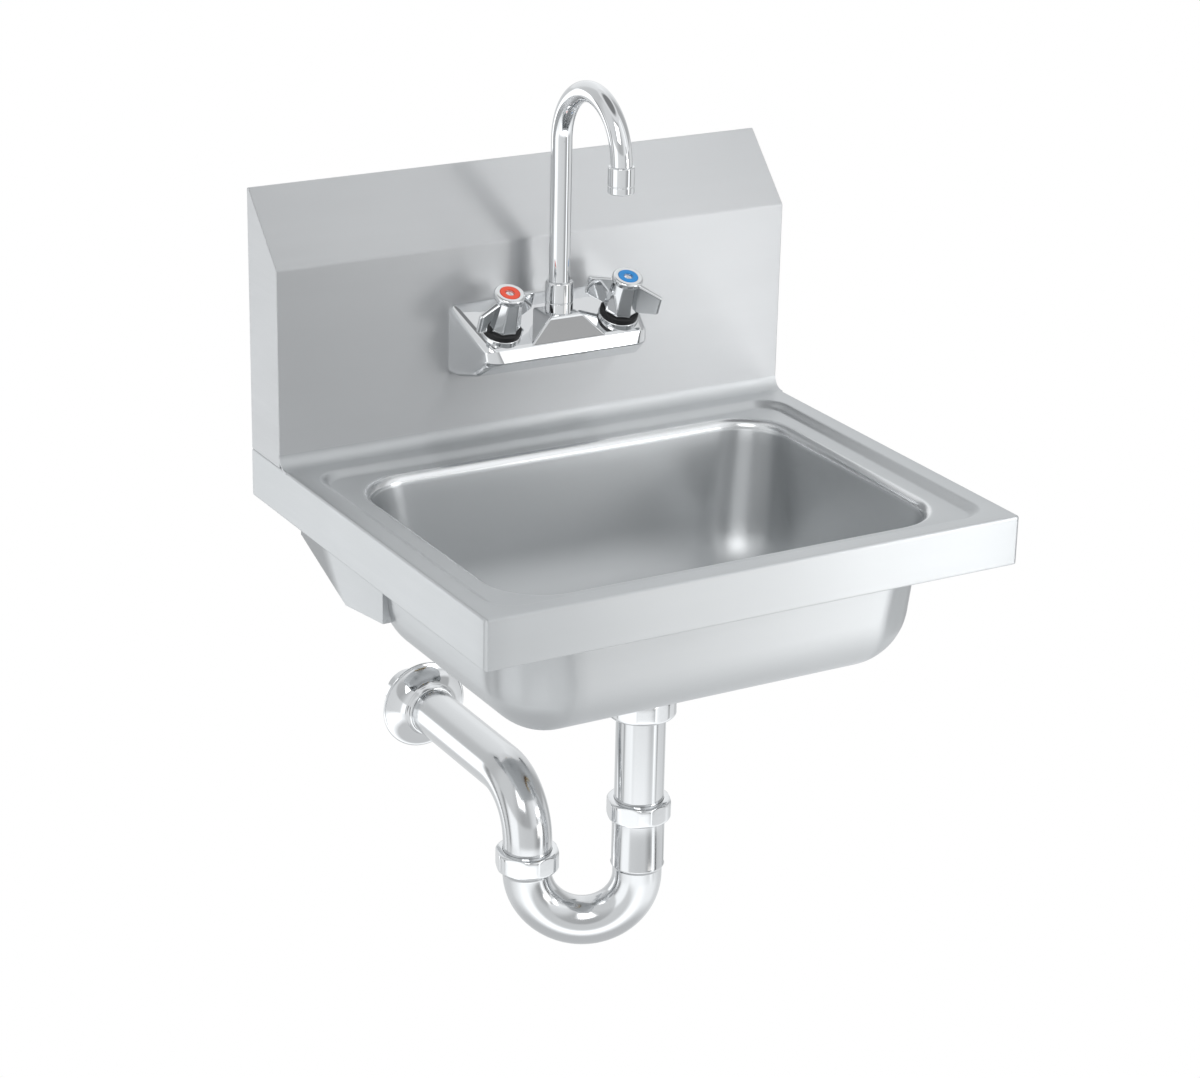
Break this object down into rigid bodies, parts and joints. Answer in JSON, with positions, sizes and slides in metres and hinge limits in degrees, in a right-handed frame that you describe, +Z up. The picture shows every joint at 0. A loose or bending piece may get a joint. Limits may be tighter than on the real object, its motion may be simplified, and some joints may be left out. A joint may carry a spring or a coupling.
{
  "type": "hand basin",
  "caption": "Wall-hung stainless hand basin with a tall sloped backsplash, a swivelling gooseneck faucet with winged hot and cold knobs, a lift-out strainer and a chromed P-trap.",
  "frame": {"origin": "on the wall plane, midway between the two screws of the hanging bracket", "axes": "+X to the right seen from the front, +Y towards the wall, +Z up"},
  "size_m": [0.438, 0.411, 0.6597],
  "materials": {
    "basin_sheet": "satin grained stainless sheet",
    "splash_sheet": "satin grained stainless sheet",
    "gusset_sheet": "satin stainless sheet",
    "bracket_steel": "plain mill-finish steel plate",
    "drain_steel": "polished stainless",
    "basket_steel": "polished stainless",
    "drain_rubber": "matt black",
    "fibre_washer": "dull fibre",
    "drain_nut_brass": "raw cast brass",
    "tail_washer": "translucent white plastic",
    "tailpiece_chrome": "bright plated",
    "slip_nut_chrome": "bright plated, cast",
    "slip_washer": "matt black",
    "trap_chrome": "bright plated tube",
    "cover_chrome": "bright plated, spun",
    "faucet_chrome": "bright plated, cast",
    "faucet_gasket": "matt black",
    "shank_brass": "machined brass",
    "shank_washer": "zinc plated",
    "locknut_brass": "machined brass",
    "cartridge_brass": "machined brass",
    "base_ring_rubber": "semi-gloss black",
    "stem_brass": "machined brass",
    "handle_chrome": "bright plated, cast",
    "hot_index": "red ring",
    "cold_index": "blue ring",
    "screw_steel": "plated screw",
    "spout_chrome": "bright plated tube",
    "spout_rings": "matt black",
    "collar_chrome": "bright plated",
    "aerator_chrome": "bright plated",
    "aerator_insert": "pale plastic"
  },
  "bodies": {
    "sink": {"basin": "basin_sheet", "backsplash": "splash_sheet", "splash_end_left": "splash_sheet", "splash_end_right": "splash_sheet", "side_gusset_left": "gusset_sheet", "side_gusset_right": "gusset_sheet", "wall_bracket": "bracket_steel", "drain_body": "drain_steel", "drain_gasket": "drain_rubber", "drain_friction_washer": "fibre_washer", "drain_locknut": "drain_nut_brass", "tailpiece_washer": "tail_washer", "tailpiece": "tailpiece_chrome", "tailpiece_nut": "slip_nut_chrome", "upper_slip_nut": "slip_nut_chrome", "upper_slip_washer": "slip_washer", "j_bend": "trap_chrome", "lower_slip_nut": "slip_nut_chrome", "lower_slip_washer": "slip_washer", "trap_arm": "trap_chrome", "wall_escutcheon": "cover_chrome", "faucet_body": "faucet_chrome", "faucet_gasket": "faucet_gasket", "hot_shank": "shank_brass", "hot_shank_washer": "shank_washer", "hot_shank_locknut": "locknut_brass", "hot_cartridge": "cartridge_brass", "hot_base_ring": "base_ring_rubber", "cold_shank": "shank_brass", "cold_shank_washer": "shank_washer", "cold_shank_locknut": "locknut_brass", "cold_cartridge": "cartridge_brass", "cold_base_ring": "base_ring_rubber", "spout_collar": "collar_chrome"},
    "spout": {"spout": "spout_chrome", "spout_rings": "spout_rings", "aerator_housing": "aerator_chrome", "aerator_screen": "aerator_insert", "aerator_washer": "drain_rubber"},
    "hot_handle": {"hot_handle": "handle_chrome", "hot_stem": "stem_brass", "hot_index_ring": "hot_index", "hot_handle_screw": "screw_steel"},
    "cold_handle": {"cold_handle": "handle_chrome", "cold_stem": "stem_brass", "cold_index_ring": "cold_index", "cold_handle_screw": "screw_steel"},
    "strainer": {"strainer_basket": "basket_steel"}
  },
  "joints": [
    {"name": "spout_swivel", "type": "hinge", "parent": "sink", "child": "spout", "pos_m": [0, -0.0818, -0.0381], "axis": [0, 0, 1], "range_deg": [-135, 135]},
    {"name": "hot_handle_turn", "type": "hinge", "parent": "sink", "child": "hot_handle", "pos_m": [-0.0508, -0.0838, -0.0473], "axis": [0, -0.3746, 0.9272], "range_deg": [0, 90]},
    {"name": "cold_handle_turn", "type": "hinge", "parent": "sink", "child": "cold_handle", "pos_m": [0.0508, -0.0838, -0.0473], "axis": [0, -0.3746, 0.9272], "range_deg": [-90, 0]},
    {"name": "strainer_lift", "type": "slide", "parent": "sink", "child": "strainer", "axis": [0, 0, 1], "range_m": [0, 0.03]}
  ]
}
